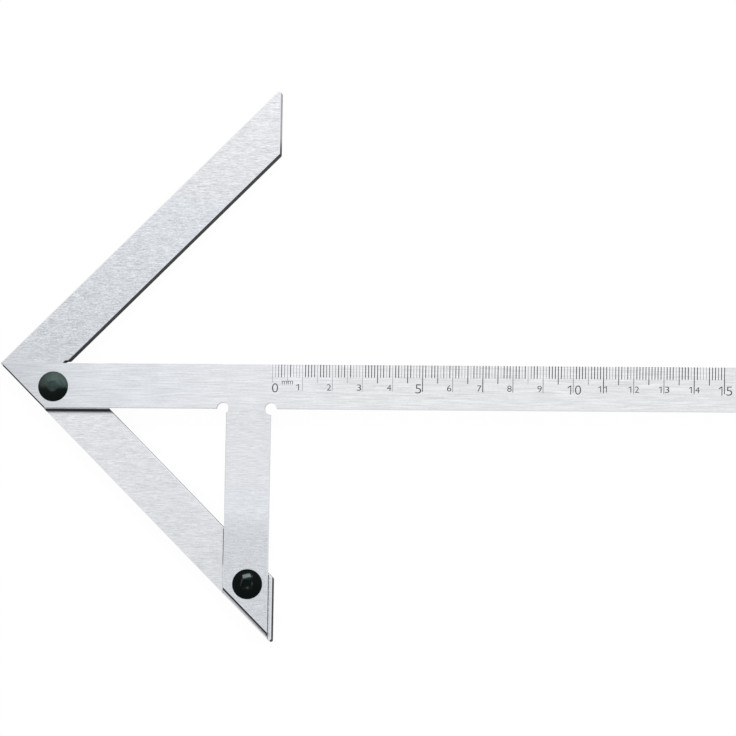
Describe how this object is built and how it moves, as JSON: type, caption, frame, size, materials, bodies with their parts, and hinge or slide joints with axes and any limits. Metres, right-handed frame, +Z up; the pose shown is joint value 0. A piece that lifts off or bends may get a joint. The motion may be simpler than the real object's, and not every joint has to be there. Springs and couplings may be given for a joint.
{
  "type": "centre square",
  "caption": "Flat steel centre square: a V stop that lies against round stock, a graduated blade along its bisector and a square brace, joined by domed rivets.",
  "frame": {"origin": "centre of the part's box, on the plane of the stop's underside, which the part lies on", "axes": "+X along the blade from the V's tip to its free end, +Y square to the blade's graduated edge and away from the brace, +Z up through the rivets' heads"},
  "size_m": [0.2454, 0.1832, 0.0101],
  "materials": {
    "stop_steel": "ground bright, edge faces left darker",
    "blade_steel": "ground bright, graduation etched and blackened",
    "rivet_black": "black, half gloss",
    "etch_black": "dull black fill of the etched figures"
  },
  "bodies": {
    "root": {"v_stop": "stop_steel", "graduated_blade": "blade_steel", "apex_rivet": "rivet_black", "brace_rivet": "rivet_black"}
  },
  "joints": []
}
